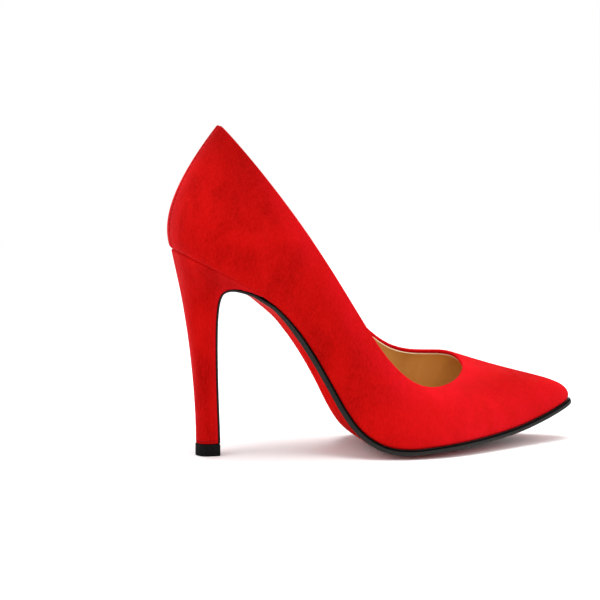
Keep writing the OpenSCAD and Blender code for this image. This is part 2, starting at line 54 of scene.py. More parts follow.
# Ribs round the upper, from the back seam along the outer side: place along
# the sole and y of the feather edge, first handle, topline point, last handle.
RIBS = np.array([
    [-1, 0, -3.6, 0, 13, 5, 0, 172.6, -26.7, 0, -34],
    [1, -15, -3.6, -5, 13, 6.8, -7.5, 170, -23.8, -7, -32],
    [15, -27, -2, -6, 14, 13, -14, 162.5, -14, -10, -28],
    [38, -27.5, 1, -4, 15, 26.4, -20.5, 145.5, -8, -9, -24],
    [63, -23, 5, -3, 14, 44.5, -24.5, 121, -6, -5, -18],
    [88, -19.5, 8, -4, 12, 60.5, -27, 96.5, -6, -3, -14],
    [112, -20, 9, -5, 9, 75, -28.5, 72.5, -7, -3, -12],
    [135, -31, 6, -3, 10, 89.5, -30, 49.5, -5, -3, -10],
    [160, -40, 2, 0, 12, 105.5, -28.5, 36.5, -1, -6, -7],
    [187, -37.5, 0, 0, 11, 118.5, -23.5, 34.8, 4, -7, -4],
    [214, -25.5, 1, 0, 11, 129, -16, 36.5, 12, -6, -3],
    [240, -13, 2, -1, 11, 135.5, -8.5, 39, 22, -4, -5],
    [260, -6, 3, -1, 11.3, 139, -2.5, 42, 34, -2, -8],
    [267.5, 0.5, 3.5, 0, 11.7, 140.3, 4, 43, 39, 0, -8.9],
    [260, 7, 3, 1, 11.5, 139.6, 10, 45.7, 34, 2, -8.6],
    [241, 15, 2, 1, 11, 136.5, 16, 47.8, 24, 4, -7.5],
    [215, 28, 1, 0, 11, 130, 22, 47.6, 13, 6, -6],
    [189, 38.5, 0, 0, 12, 120, 27, 46.9, 5, 7, -6],
    [162, 39, 2, 0, 13, 107, 29.5, 49.4, 0, 5, -9],
    [138, 27, 6, 3, 11, 92, 29, 61, -5, 3, -12],
    [114, 15, 9, 7, 10, 77, 28, 80, -7, 3, -13],
    [89, 14.5, 8, 6, 12, 61, 26, 102, -6, 3, -15],
    [64, 22, 5, 3, 14, 44.5, 23.5, 124.5, -6, 5, -18],
    [38, 26.5, 1, 4, 15, 27, 20, 146.5, -8, 9, -24],
    [15, 26.5, -2, 6, 14, 13, 14, 163, -14, 10, -28],
    [1, 15, -3.6, 5, 13, 6.8, 7.5, 170, -23.8, 7, -32]], float)
TURNS = len(RIBS)
SIDE_SEAM = 61 / 3
# Thicknesses and depths of the layers, from the outer face inward.
SUEDE, GLUE, BACKER, STIFF, LINING = 0.9, 0.05, 0.4, 0.6, 0.65
LINING_IN = SUEDE + BACKER + STIFF + 3 * GLUE
INSIDE = LINING_IN + LINING
INSOLE_IN = INSIDE + 0.5
INSOLE, SOCK, FOAM, HEEL_FOAM = 2.0, 0.8, 1.0, 1.2
SOLE, WAIST, FLAP, WELT, TREAD, TREAD_TOE = 2.9, 3.2, 1.2, 1.2, 1.7, 0.7
COVER = 0.8
# Radius of the round back of the heel tip, and height where the heel cover ends.
TIP_R, HEEL_FOOT = 6.2, 6.5
# Radius of the folded topline edge; pitch, length and radius of the seam stitches.
FOLD_R = 0.98
STITCH_PITCH, STITCH_LEN, STITCH_R = 2.6, 1.9, 0.17


def smooth(v, a, b):
    k = np.clip((np.asarray(v, float) - a) / (b - a), 0, 1)
    return k * k * (3 - 2 * k)


def through(points, count):
    """A smooth line through the inner points of a list."""
    p = np.asarray(points, float)
    k = np.linspace(0, 1, count, endpoint=False)[:, None]
    out = []
    for a, b, c, d in zip(p, p[1:], p[2:], p[3:]):
        out.append(0.5 * (2 * b + (c - a) * k + (2 * a - 5 * b + 4 * c - d) * k ** 2
                          + (3 * b - a - 3 * c + d) * k ** 3))
    return np.vstack(out)


LINE = through(PROFILE, 40)
ARC = np.r_[0, np.cumsum(np.hypot(*np.diff(LINE, axis=0).T))]
ARC = ARC - ARC[40]


def low(s):
    return np.stack([np.interp(s, ARC, LINE[:, 0]), np.interp(s, ARC, LINE[:, 1])], -1)


def low_n(s):
    d = low(s + 1) - low(s - 1)
    d /= np.linalg.norm(d, axis=-1, keepdims=True)
    return np.stack([-d[..., 1], d[..., 0]], -1)


def lift(s, y):
    arch = 4.5 * smooth(s, 55, 92) * (1 - smooth(s, 136, 170))
    belly = 0.8 * smooth(s, 140, 175) * (1 - smooth(s, 225, 262))
    return (np.where(y > 0, arch * (1 - np.exp(-y * y / 144)), 0)
            - belly * (1 - np.minimum(1, y * y / 1500)))


def on_sole(p, h):
    """3-D points from plan points (place along the sole, y) at height h."""
    s, y = p[..., 0], p[..., 1]
    c, n = low(s), low_n(s)
    g = (h + lift(s, y))[..., None]
    q = c + n * g
    return np.stack([q[..., 0], y, q[..., 1]], -1)


def rib(t):
    t = np.asarray(t, float) % TURNS
    i = np.floor(t).astype(int)
    k = (t - i)[..., None]
    a, b, c, d = (RIBS[(i + j) % TURNS] for j in (-1, 0, 1, 2))
    return ((1 - k) ** 3 * a + (3 * k ** 3 - 6 * k ** 2 + 4) * b
            + (3 * k ** 2 - 3 * k ** 3 + 3 * k + 1) * c + k ** 3 * d) / 6


def inset(t, d):
    t = np.asarray(t, float)
    p = rib(t)[..., :2]
    v = rib(t + 0.05)[..., :2] - rib(t - 0.05)[..., :2]
    v /= np.linalg.norm(v, axis=-1, keepdims=True)
    return p + np.asarray(d)[..., None] * np.stack([-v[..., 1], v[..., 0]], -1)


def reach(t, k=1.0):
    p = inset(t, 2.5 * np.ones_like(np.asarray(t, float)))
    q = np.stack([np.clip(p[..., 0], 24, 222), 0 * p[..., 0]], -1)
    far = np.linalg.norm(q - p, axis=-1, keepdims=True)
    return p + (q - p) * np.minimum(11, 0.5 * far) / far * k


def wall(t, s):
    """Outer face of the upper."""
    r = rib(t)
    f = on_sole(r[..., :2], 0 * r[..., 0])
    a = f + r[..., 2:5]
    d = r[..., 5:8]
    c = d + r[..., 8:11]
    s = s[..., None]
    return ((1 - s) ** 3 * f + 3 * s * (1 - s) ** 2 * a
            + 3 * s * s * (1 - s) * c + s ** 3 * d)


def lean(t, s):
    """Outward normal of the upper."""
    k = np.clip(s, 0.02, 0.98)
    n = np.cross(wall(t + 0.1, k) - wall(t - 0.1, k),
                 wall(t, k + 0.02) - wall(t, k - 0.02))
    return n / np.linalg.norm(n, axis=-1, keepdims=True)


def peak(t, s):
    """Drop that rounds the sharp top of the back seam, in mm."""
    d = np.minimum(t % TURNS, TURNS - t % TURNS)
    return 0.9 * np.exp(-(d / 0.28) ** 2) * smooth(s, 0.93, 1)


def from_top(t, w):
    """Rib parameter at w mm below the topline."""
    return 1 - w / (3 * np.linalg.norm(rib(t)[..., 8:11], axis=-1))


# ---------------------------------------------------------------- meshes

def make(name, verts, faces, body="shoe", slots=None, face_slots=None, smooth_by=None):
    me = bpy.data.meshes.new(name)
    me.from_pydata((np.asarray(verts, float) * 0.001).tolist(), [], faces)
    me.validate()
    for m in slots or []:
        me.materials.append(m)
    if face_slots is not None and len(face_slots) == len(me.polygons):
        me.polygons.foreach_set("material_index", np.asarray(face_slots, int))
    me.update()
    ob = bpy.data.objects.new(name, me)
    bpy.context.scene.collection.objects.link(ob)
    for o in bpy.context.selected_objects:
        o.select_set(False)
    ob.select_set(True)
    bpy.context.view_layer.objects.active = ob
    if smooth_by is None:
        bpy.ops.object.shade_smooth()
    else:
        bpy.ops.object.shade_smooth_by_angle(angle=math.radians(smooth_by))
    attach(ob, body)
    return ob


def paint_sheen_and_shade(ob, light, dark=None):
    """Store painted sheen (the nap attribute) and painted shade (the shade attribute) at each point of a
    suede piece.
    """
    for name, v in (("nap", light), ("shade", 0 * light if dark is None else dark)):
        a = ob.data.attributes.new(name, "FLOAT", "POINT")
        a.data.foreach_set("value", np.clip(v, 0, 1).astype(np.float32).ravel())


def loop_loft(rings, wrap=False, caps=True):
    """Verts, faces and (ring, point) of each face for closed sections in a row.

    rings is n x m x 3. Point k of a section faces point m - 1 - k, so an end
    cap is a ladder between the two.
    """
    n, m = rings.shape[:2]
    faces, tags = [], []
    for i in range(n if wrap else n - 1):
        a, b = i * m, ((i + 1) % n) * m
        for k in range(m):
            j = (k + 1) % m
            faces.append((a + k, b + k, b + j, a + j))
            tags.append((i, k))
    if not wrap and caps:
        for i, flip in ((0, False), (n - 1, True)):
            a = i * m
            for k in range(m // 2 - 1):
                f = (a + k, a + k + 1, a + m - 2 - k, a + m - 1 - k)
                faces.append(f[::-1] if flip else f)
                tags.append((i, -1))
    return rings.reshape(-1, 3), faces, tags


# ------------------------------------------------------------- materials

def material(name, colour, rough=0.5, metal=0.0, **more):
    m = bpy.data.materials.new(name)
    m.use_nodes = True
    b = m.node_tree.nodes["Principled BSDF"]
    b.inputs["Base Color"].default_value = (*colour, 1)
    b.inputs["Roughness"].default_value = rough
    b.inputs["Metallic"].default_value = metal
    for key, value in more.items():
        b.inputs[key.replace("_", " ")].default_value = value
    return m


class Nodes:
    """Short calls for building one material's nodes."""

    def __init__(self, m):
        self.t = m.node_tree
        self.b = self.t.nodes["Principled BSDF"]
        self.at = self.t.nodes.new("ShaderNodeTexCoord").outputs["Object"]

    def new(self, kind, **props):
        n = self.t.nodes.new(kind)
        for k, v in props.items():
            setattr(n, k, v)
        return n

    def link(self, a, b):
        self.t.links.new(a, b)

    def stretch(self, x, y, z, turn=(0, 0, 0)):
        n = self.new("ShaderNodeMapping")
        n.inputs["Scale"].default_value = (x, y, z)
        n.inputs["Rotation"].default_value = turn
        self.link(self.at, n.inputs["Vector"])
        return n.outputs["Vector"]

    def noise(self, scale, detail=3.0, rough=0.5, at=None, distort=0.0):
        n = self.new("ShaderNodeTexNoise")
        n.inputs["Scale"].default_value = scale
        n.inputs["Detail"].default_value = detail
        n.inputs["Roughness"].default_value = rough
        n.inputs["Distortion"].default_value = distort
        self.link(at or self.at, n.inputs["Vector"])
        return n.outputs["Fac"]

    def cells(self, scale, at=None):
        n = self.new("ShaderNodeTexVoronoi", feature="DISTANCE_TO_EDGE")
        n.inputs["Scale"].default_value = scale
        self.link(at or self.at, n.inputs["Vector"])
        return n.outputs["Distance"]

    def spread(self, fac, low_at, high_at, low_to=0.0, high_to=1.0):
        n = self.new("ShaderNodeMapRange")
        for k, v in zip((1, 2, 3, 4), (low_at, high_at, low_to, high_to)):
            n.inputs[k].default_value = v
        self.link(fac, n.inputs[0])
        return n.outputs[0]

    def mix(self, fac, a, b):
        n = self.new("ShaderNodeMix", data_type="RGBA")
        self.link(fac, n.inputs[0])
        for sock, v in ((n.inputs[6], a), (n.inputs[7], b)):
            if isinstance(v, tuple):
                sock.default_value = (*v, 1)
            else:
                self.link(v, sock)
        return n.outputs[2]

    def math(self, op, a, b):
        n = self.new("ShaderNodeMath", operation=op)
        for sock, v in zip(n.inputs, (a, b)):
            if isinstance(v, (int, float)):
                sock.default_value = v
            else:
                self.link(v, sock)
        return n.outputs[0]

    def bump(self, height, strength, distance):
        n = self.new("ShaderNodeBump")
        n.inputs["Strength"].default_value = strength
        n.inputs["Distance"].default_value = distance
        self.link(height, n.inputs["Height"])
        if self.b.inputs["Normal"].is_linked:
            self.link(self.b.inputs["Normal"].links[0].from_socket, n.inputs["Normal"])
        self.link(n.outputs["Normal"], self.b.inputs["Normal"])

    def colour(self, out):
        self.link(out, self.b.inputs["Base Color"])

    def rough(self, out):
        self.link(out, self.b.inputs["Roughness"])


def suede(name, nap):
    """Red suede. nap stretches the fibre noise along the nap."""
    m = material(name, (0.4, 0.002, 0.001), 0.9, Sheen_Weight=0.5, Sheen_Roughness=0.35,
                 Sheen_Tint=(1.0, 0.02, 0.045, 1), Specular_IOR_Level=0.1,
                 Specular_Tint=(1.0, 0.06, 0.06, 1))
    n = Nodes(m)
    patches = n.spread(n.noise(30, 3, 0.5, distort=0.8), 0.38, 0.62)
    strokes = n.spread(n.noise(95, 4, 0.6, n.stretch(*nap), 0.6), 0.34, 0.66)
    grain = n.spread(n.noise(1100, 3, 0.7, n.stretch(*nap)), 0.34, 0.68)
    deep = n.mix(patches, (0.23, 0.0011, 0.0006), (0.36, 0.0022, 0.0014))
    stroked = n.mix(n.math("MULTIPLY", strokes, 0.5), deep, (0.44, 0.003, 0.0022))
    flecks = n.mix(n.math("MULTIPLY", grain, 0.5), stroked, (0.5, 0.0055, 0.005))
    # Painted sheen: the nap attribute lifts the colour towards a pale pink red. Painted shade: the shade
    # attribute pulls it down to a deep red.
    painted_sheen = n.new("ShaderNodeAttribute", attribute_name="nap").outputs["Fac"]
    painted_sheen_mix = n.math("MULTIPLY", painted_sheen, n.spread(strokes, 0, 1, 0.75, 0.25))
    shade = n.new("ShaderNodeAttribute", attribute_name="shade").outputs["Fac"]
    n.colour(n.mix(shade, n.mix(painted_sheen_mix, flecks, (0.60, 0.006, 0.012)), (0.13, 0.0004, 0.0002)))
    n.rough(n.spread(strokes, 0, 1, 0.97, 0.82))
    fibre = n.noise(3600, 2, 0.65, n.stretch(*nap))
    n.bump(fibre, 0.55, 0.00018)
    n.bump(grain, 0.35, 0.00022)
    return m


def tan_leather(name, dark, mid, scale=1.0):
    m = material(name, mid, 0.42, Specular_IOR_Level=0.42, Coat_Weight=0.08,
                 Coat_Roughness=0.3)
    n = Nodes(m)
    cloud = n.spread(n.noise(26, 3, 0.5, distort=0.5), 0.35, 0.68)
    pores = n.cells(1500 * scale)
    grain = n.noise(2600, 2, 0.6)
    n.colour(n.mix(n.math("MULTIPLY", grain, 0.18), n.mix(cloud, dark, mid),
                   tuple(0.55 * c for c in dark)))
    n.rough(n.spread(n.noise(320, 3, 0.6), 0.3, 0.7, 0.36, 0.55))
    n.bump(n.spread(pores, 0, 0.12), 0.22, 0.00012)
    n.bump(grain, 0.12, 0.0001)
    return m


def black_edge(name, dark, light, shine):
    m = material(name, dark, 0.3, Specular_IOR_Level=shine)
    n = Nodes(m)
    along = n.noise(900, 3, 0.6, n.stretch(0.35, 0.35, 1.6))
    n.colour(n.mix(n.spread(along, 0.3, 0.75), dark, light))
    n.rough(n.spread(n.noise(420, 3, 0.6), 0.3, 0.7, 0.26, 0.46))
    n.bump(along, 0.25, 0.0001)
    return m


def red_sole():
    m = material("sole_red", (0.3, 0.004, 0.004), 0.4, 0.45, Specular_IOR_Level=0.0,
                 Specular_Tint=(1.0, 0.04, 0.04, 1))
    n = Nodes(m)
    scuff = n.spread(n.noise(70, 5, 0.65, n.stretch(0.5, 1.4, 0.5), 0.7), 0.42, 0.75)
    n.colour(n.mix(n.math("MULTIPLY", scuff, 0.5), (0.44, 0.003, 0.002), (0.3, 0.0022, 0.0016)))
    n.rough(n.spread(scuff, 0, 1, 0.32, 0.5))
    n.bump(n.noise(650, 3, 0.55), 0.06, 0.0002)
    return m


def rubber(name, a, b, ribs=False):
    m = material(name, a, 0.65, Specular_IOR_Level=0.08)
    n = Nodes(m)
    speck = n.noise(2200, 2, 0.6)
    n.colour(n.mix(n.spread(n.noise(160, 3, 0.6), 0.3, 0.75), a, b))
    n.rough(n.spread(n.noise(500, 3, 0.6), 0.3, 0.7, 0.55, 0.8))
    n.bump(speck, 0.4, 0.00015)
    if ribs:
        n.bump(n.cells(420, n.stretch(1, 0.55, 1)), 0.3, 0.0003)
    return m


def cloth(name, a, b, pitch=2200):
    m = material(name, a, 0.9, Specular_IOR_Level=0.2, Sheen_Weight=0.15)
    n = Nodes(m)
    for turn in ((0, 0, 0), (0, 0, math.pi / 2)):
        w = n.new("ShaderNodeTexWave")
        w.inputs["Scale"].default_value = pitch / 20
        n.link(n.stretch(1, 1, 1, turn), w.inputs["Vector"])
        n.bump(w.outputs["Fac"], 0.3, 0.0001)
    n.colour(n.mix(n.noise(900, 3, 0.6), a, b))
    return m


def steel(name, tone=0.55, rough=0.32):
    m = material(name, (tone, tone, tone * 1.02), rough, 1.0)
    n = Nodes(m)
    drawn = n.noise(500, 4, 0.6, n.stretch(6, 6, 0.4))
    n.rough(n.spread(drawn, 0.25, 0.75, rough - 0.08, rough + 0.12))
    n.bump(drawn, 0.08, 0.00008)
    return m


def plastic(name, a, b):
    m = material(name, a, 0.5, Specular_IOR_Level=0.45)
    n = Nodes(m)
    n.colour(n.mix(n.noise(60, 3, 0.5), a, b))
    n.rough(n.spread(n.noise(900, 2, 0.5), 0.3, 0.7, 0.42, 0.58))
    n.bump(n.noise(1500, 2, 0.5), 0.1, 0.0001)
    return m


def board(name, a, b):
    m = material(name, a, 0.85, Specular_IOR_Level=0.25)
    n = Nodes(m)
    n.colour(n.mix(n.spread(n.noise(700, 5, 0.7), 0.3, 0.7), a, b))
    n.bump(n.noise(1800, 4, 0.7), 0.4, 0.0002)
    return m


def foam(name):
    m = material(name, (0.85, 0.8, 0.68), 0.9, Subsurface_Weight=0.1)
    n = Nodes(m)
    holes = n.cells(1900)
    n.colour(n.mix(n.spread(holes, 0, 0.2), (0.62, 0.56, 0.44), (0.88, 0.83, 0.72)))
    n.bump(holes, 0.5, 0.0002)
    return m


SUEDE_UPPER = suede("suede_upper", (1, 1, 0.45))
SUEDE_HEEL = suede("suede_heel", (1.3, 1.3, 0.3))
LINING_M = tan_leather("lining_tan", (0.47, 0.23, 0.052), (0.70, 0.40, 0.115))
SOCK_M = tan_leather("sock_tan", (0.46, 0.21, 0.042), (0.64, 0.33, 0.08), 1.3)
CREAM = board("lining_cut_edge", (0.80, 0.66, 0.46), (0.7, 0.54, 0.34))
EDGE = black_edge("edge_black", (0.006, 0.0058, 0.0052), (0.015, 0.0145, 0.013), 0.16)
# Near-black with little shine: painted shadow in the groove along the top of the sole edge, against the
# upper and the heel.
EDGE_GROOVE_SHADE = black_edge("edge_groove_shade", (0.0006, 0.0006, 0.0006), (0.0012, 0.0012, 0.0012), 0.02)
RED = red_sole()
TREAD_M = rubber("tread_rubber", (0.022, 0.004, 0.005), (0.035, 0.007, 0.008), True)
TIP_M = rubber("tip_rubber", (0.0015, 0.0015, 0.0015), (0.004, 0.004, 0.004))
THREAD = cloth("thread_red", (0.16, 0.006, 0.008), (0.26, 0.01, 0.012), 9000)
STEEL = steel("steel")

# ------------------------------------------------------------- the upper


def seam_columns(t0, t1, gap):
    """Column places from t0 to t1, close together beside a seam at each end."""
    step = np.array([0, 0.12, 0.25, 0.4, 0.6, 0.85, 1.2, 1.7, 2.4, 3.4])
    p = wall(np.array([t0, t0 + 0.1, t1 - 0.1, t1]), np.full(4, 0.5))
    per0 = 0.1 / np.linalg.norm(p[1] - p[0])
    per1 = 0.1 / np.linalg.norm(p[3] - p[2])
    a, b = t0 + (gap + step) * per0, t1 - (gap + step) * per1
    n = int((b[-1] - a[-1]) * 10)
    return np.r_[a, np.linspace(a[-1], b[-1], n + 2)[1:-1], b[::-1]]


def seam_dip(t, s, seams):
    """How far the suede turns in beside a closed seam, pulled at each stitch."""
    dip = np.zeros(np.broadcast(t, s).shape)
    p = wall(t, s)
    for q in seams:
        c = wall(np.full_like(t, q), s)
        w = np.linalg.norm(p - c, axis=-1)
        pull = 0.5 + 0.5 * np.cos(2 * np.pi * c[..., 2] / STITCH_PITCH)
        dip += np.exp(-((w - 0.2) / 0.55) ** 2) * (0.42 + 0.12 * pull)
        dip += np.exp(-(w / 2.6) ** 2) * 0.06
    return dip


def upper_piece(name, t, seams, mat):
    """One suede piece: margin, wall, folded topline edge and back down inside."""
    r = FOLD_R
    t = t[:, None]
    ones = np.ones_like(t)
    rows = np.linspace(0.0, 1.0, 34)
    outer, inner = [], []
    for k in (1.0, 0.6, 0.2):
        outer.append(on_sole(reach(t[:, 0], k), np.zeros(len(t)))[:, None])
        inner.append(on_sole(reach(t[:, 0], k), np.full(len(t), SUEDE))[:, None])
    top0 = from_top(t[:, 0], 2.6)[:, None]
    s = rows[None, 1:] * top0
    s = np.concatenate([0.0 * ones, 0.012 * ones, s[:, 0:1] * 0.6, s,
                        *[from_top(t[:, 0], w)[:, None] for w in (2.1, 1.6, 1.2)]], 1)
    tt = t + 0 * s
    dip = seam_dip(tt, s, seams)
    w, n = wall(tt, s), lean(tt, s)
    w[..., 2] -= peak(tt, s)
    turn = 0.45 * (1 - smooth(s, 0, 0.03))
    outer.append(w - n * (dip * np.clip(s / 0.02, 0, 1) + turn)[..., None])
    depth = np.full_like(s, SUEDE)
    depth[:, -3:] = LINING_IN - GLUE
    depth[:, -4] = LINING_IN - GLUE - 0.1
    inner_wall = w - n * np.maximum(depth, dip + 0.3)[..., None]
    inner_wall[:, 0] = on_sole(inset(t[:, 0], SUEDE * ones[:, 0]), SUEDE * ones[:, 0])
    inner_wall[:, 1] = 0.5 * (inner_wall[:, 0] + inner_wall[:, 2])
    inner.append(inner_wall)
    arcs = np.radians(np.arange(9, 90, 18))
    for a, side in [(x, 0) for x in arcs] + [(x, 1) for x in arcs]:
        sa = from_top(t[:, 0], r - r * np.sin(a))[:, None]
        d0 = r - r * np.cos(a) if side == 0 else r + r * np.cos(a)
        dd = seam_dip(t, sa, seams)
        q = wall(t, sa) - lean(t, sa) * (d0 + dd * (1 - side))[..., None]
        q[..., 2] -= peak(t, sa)
        (outer if side == 0 else inner).append(q)
    outer, inner = np.concatenate(outer, 1), np.concatenate(inner, 1)
    rings = np.concatenate([outer, inner[:, ::-1]], 1)
    v, f, _ = loop_loft(rings)
    ob = make(name, v, f, slots=[mat])
    below = np.linalg.norm(rings - wall(t, 1 + 0 * t), axis=-1)
    above = np.linalg.norm(rings - wall(t, 0 * t), axis=-1)
    d = np.minimum(t, TURNS - t)
    mid, fore = smooth(d, 1.8, 4), smooth(d, 7, 10)
    # Painted sheen: a light band along the topline, narrow at the back and wider along the sides, a broad
    # lighter zone below the topline and a light band along the feather edge of the forepart. Painted
    # shade: darker below the topline round the back, and darker on the top of the forepart.
    paint_sheen_and_shade(ob, (0.1 + 0.6 * mid) * np.exp(-(below / (3 + 9 * mid)) ** 2)
          + 0.3 * smooth(d, 4.5, 8) * np.exp(-(below / 26) ** 2)
          + 0.95 * fore * np.exp(-(above / 18) ** 2),
          0.5 * (1 - mid) * np.exp(-(below / 24) ** 2) + 0.16 * fore * smooth(above, 18, 32))
    return ob


GAP = 0.25
outer_t = seam_columns(0, SIDE_SEAM, GAP)
inner_t = seam_columns(SIDE_SEAM, TURNS, GAP)
seams = (0.0, SIDE_SEAM, float(TURNS))
vamp = upper_piece("suede_vamp", outer_t, seams, SUEDE_UPPER)
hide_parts("vamp_and_lateral_quarter")
quarter = upper_piece("suede_inner_quarter", inner_t, seams, SUEDE_UPPER)
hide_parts("medial_quarter")


def lining_piece(name, t):
    """A lining: thin sheet against the layers behind it, with a cut top edge."""
    t = t[:, None]
    one = np.ones(len(t))
    drop = 2.4 * np.exp(-(t[:, 0] / 0.3) ** 2)
    s = np.linspace(0.0, 1.0, 30)[None, 1:] * from_top(t[:, 0], 2.2 + drop)[:, None]
    s = np.concatenate([s, from_top(t[:, 0], 1.6 + drop)[:, None],
                        from_top(t[:, 0], 1.45 + drop)[:, None]], 1)
    tt = t + 0 * s
    w, n = wall(tt, s), lean(tt, s)
    inner_depth = np.full_like(s, INSIDE)
    inner_depth[:, -1] -= 0.14
    sides = []
    for depth, d in ((LINING_IN, np.full_like(s, LINING_IN)), (INSIDE, inner_depth)):
        cols = [on_sole(reach(t[:, 0], k), depth * one)[:, None] for k in (1.0, 0.6, 0.2)]
        cols.append(on_sole(inset(t[:, 0], depth * one), depth * one)[:, None])
        cols.append(w - n * d[..., None])
        sides.append(np.concatenate(cols, 1))
    m = sides[0].shape[1]
    rings = np.concatenate([sides[0], sides[1][:, ::-1]], 1)
    v, f, tags = loop_loft(rings)
    cut = [1 if k == m - 1 or k == m else 0 for _, k in tags]
    ob = make(name, v, f, slots=[LINING_M, CREAM], face_slots=cut)
    return ob


front_t = np.linspace(19 / 3 + 0.02, 59 / 3 - 0.02, 140)
back_t = np.linspace(-19 / 3 + 0.02, 19 / 3 - 0.02, 130)
front_lining = lining_piece("lining_front", front_t)
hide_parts("vamp_lining")
back_lining = lining_piece("lining_back", back_t)
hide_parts("quarter_lining")

# --------------------------------------------------------- seam stitches


def stitches():
    """Short threads lying in the two closed seams."""
    verts, faces = [], []
    for q, first, last in ((0.0, 0.05, 0.965), (SIDE_SEAM, 0.06, 0.93)):
        s = np.linspace(first, last, 400)
        t = np.full_like(s, q)
        line = wall(t, s) - 0.62 * lean(t, s)
        run = np.r_[0, np.cumsum(np.linalg.norm(np.diff(line, axis=0), axis=1))]
        for a in np.arange(0.4, run[-1] - 2.2, STITCH_PITCH):
            k = np.linspace(0, 1, 7)
            mid = np.stack([np.interp(a + STITCH_LEN * k, run, line[:, j]) for j in range(3)], -1)
            n = np.stack([np.interp(a + STITCH_LEN * k, run, lean(t, s)[:, j]) for j in range(3)], -1)
            mid = mid + n * (0.16 * np.sin(np.pi * k))[:, None]
            d = np.gradient(mid, axis=0)
            d /= np.linalg.norm(d, axis=1, keepdims=True)
            side = np.cross(d, n)
            side /= np.linalg.norm(side, axis=1, keepdims=True)
            base = len(verts)
            rad = STITCH_R * np.sqrt(np.clip(1 - (2 * k - 1) ** 6, 0.08, 1))
            for i in range(7):
                for j in range(8):
                    g = 2 * np.pi * j / 8
                    verts.append(mid[i] + rad[i] * (np.cos(g) * side[i]
                                                    + np.sin(g) * np.cross(d[i], side[i])))
            for i in range(6):
                for j in range(8):
                    a0, a1 = base + i * 8 + j, base + i * 8 + (j + 1) % 8
                    faces.append((a0, a1, a1 + 8, a0 + 8))
            faces.append(tuple(base + j for j in range(7, -1, -1)))
            faces.append(tuple(base + 48 + j for j in range(8)))
    ob = make("seam_threads", verts, faces, slots=[THREAD])
    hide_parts("seam_stitches")
    return ob


stitches()

# -------------------------------------------------- sock, foam and soles


def rung_points(t, d, h, across):
    p, q = inset(t, d), inset(TURNS - t, d)
    k = np.linspace(0, 1, across)[None, :, None]
    m = p[:, None] * (1 - k) + q[:, None] * k
    return on_sole(m, np.broadcast_to(h, m.shape[:2]))


def base_height():
    return INSIDE + GLUE + INSOLE + GLUE


def foam_top(s):
    return base_height() + FOAM + HEEL_FOAM * (1 - smooth(s, 60, 95))


PLATE_T = np.r_[0.08, 0.2, 0.35, np.arange(0.5, 12.4, 0.1), 12.45, 12.55, 12.62]


def soft_plate(name, d, low_h, high_h, mats, node, crown):
    """A plate under the foot with rounded edges. crown swells the middle."""
    t = PLATE_T
    across = 25
    s = rib(t)[:, 0]
    lo, hi = low_h(s), high_h(s)
    k = np.linspace(0, 1, across)
    bulge = np.sin(np.pi * k) ** 0.6
    top = rung_points(t, np.full(len(t), d + 0.35), hi[:, None] + crown * bulge[None], across)
    bot = rung_points(t, np.full(len(t), d + 0.05), lo[:, None] * np.ones(across), across)
    sides = []
    for e, f in ((0.0, 0.5), (0.12, 0.85)):
        h = lo + (hi - lo) * f
        sides.append((on_sole(inset(t, np.full(len(t), d + e)), h),
                      on_sole(inset(TURNS - t, np.full(len(t), d + e)), h)))
    upper = np.concatenate([sides[0][0][:, None], sides[1][0][:, None], top,
                            sides[1][1][:, None], sides[0][1][:, None]], 1)
    under = bot[:, ::-1]
    lower = np.concatenate([under[:, :1], under[:, :1], under, under[:, -1:], under[:, -1:]], 1)
    lower[:, 0] = (3 * lower[:, 0] + sides[0][1]) / 4
    lower[:, 1] = (7 * lower[:, 2] + sides[0][1]) / 8
    lower[:, -1] = (3 * lower[:, -1] + sides[0][0]) / 4
    lower[:, -2] = (7 * lower[:, -3] + sides[0][0]) / 8
    v, f, _ = loop_loft(np.concatenate([upper, lower], 1)[:, ::-1])
    ob = make(name, v, f, slots=mats)
    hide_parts(node)
    return ob


sock = soft_plate("sock_leather", INSOLE_IN + 0.2, lambda s: foam_top(s) + GLUE,
                  lambda s: foam_top(s) + GLUE + SOCK, [SOCK_M], "insock", 0.15)
pad = soft_plate("sock_foam", INSOLE_IN + 0.6, lambda s: base_height() + 0 * s,
                 lambda s: foam_top(s), [foam("foam")], "insock_foam", 0.12)

# Edge where heel side, heel breast and sole flap meet: x, z, half width.
BREAST = np.array([
    [23.4, 85, 21.5], [19.2, 86.9, 20.4], [14.7, 88.3, 18.9], [10.3, 89, 16.9],
    [6.7, 88.3, 14.5], [4.2, 85.9, 12], [3, 81.4, 10], [2.4, 75, 9.1], [2.2, 66.4, 8.5],
    [2.5, 52, 7.5], [3, 38, 6.9], [3.7, 24, 6.3], [4.3, 12, 5.8], [4.5, 6.5, 5.5]])
# Heights of the back of the heel on the same levels, and the share of the
# seat outline that is left at each level.
BACK_Z = np.array([108, 105, 101, 96.5, 91.5, 86, 80, 74, 66, 52, 38, 24, 12, 6.5])
FADE = np.array([1, 0.87, 0.74, 0.6, 0.47, 0.36, 0.28, 0.22, 0.16, 0.1, 0.06, 0.03, 0.01, 0])
# Rib parameter of the corner where the seat meets the heel breast.
LIP_T = 3.42


def along(table, j):
    """Smooth values of a 14-row table at fractional rows j."""
    p = np.asarray(table, float)
    if p.ndim == 1:
        p = p[:, None]
    p = np.vstack([2 * p[0] - p[1], p, 2 * p[-1] - p[-2]])
    i = np.clip(np.floor(j).astype(int), 0, 12)
    k = (j - i)[..., None]
    a, b, c, d = p[i], p[i + 1], p[i + 2], p[i + 3]
    return 0.5 * (2 * b + (c - a) * k + (2 * a - 5 * b + 4 * c - d) * k ** 2
                  + (3 * b - a - 3 * c + d) * k ** 3)


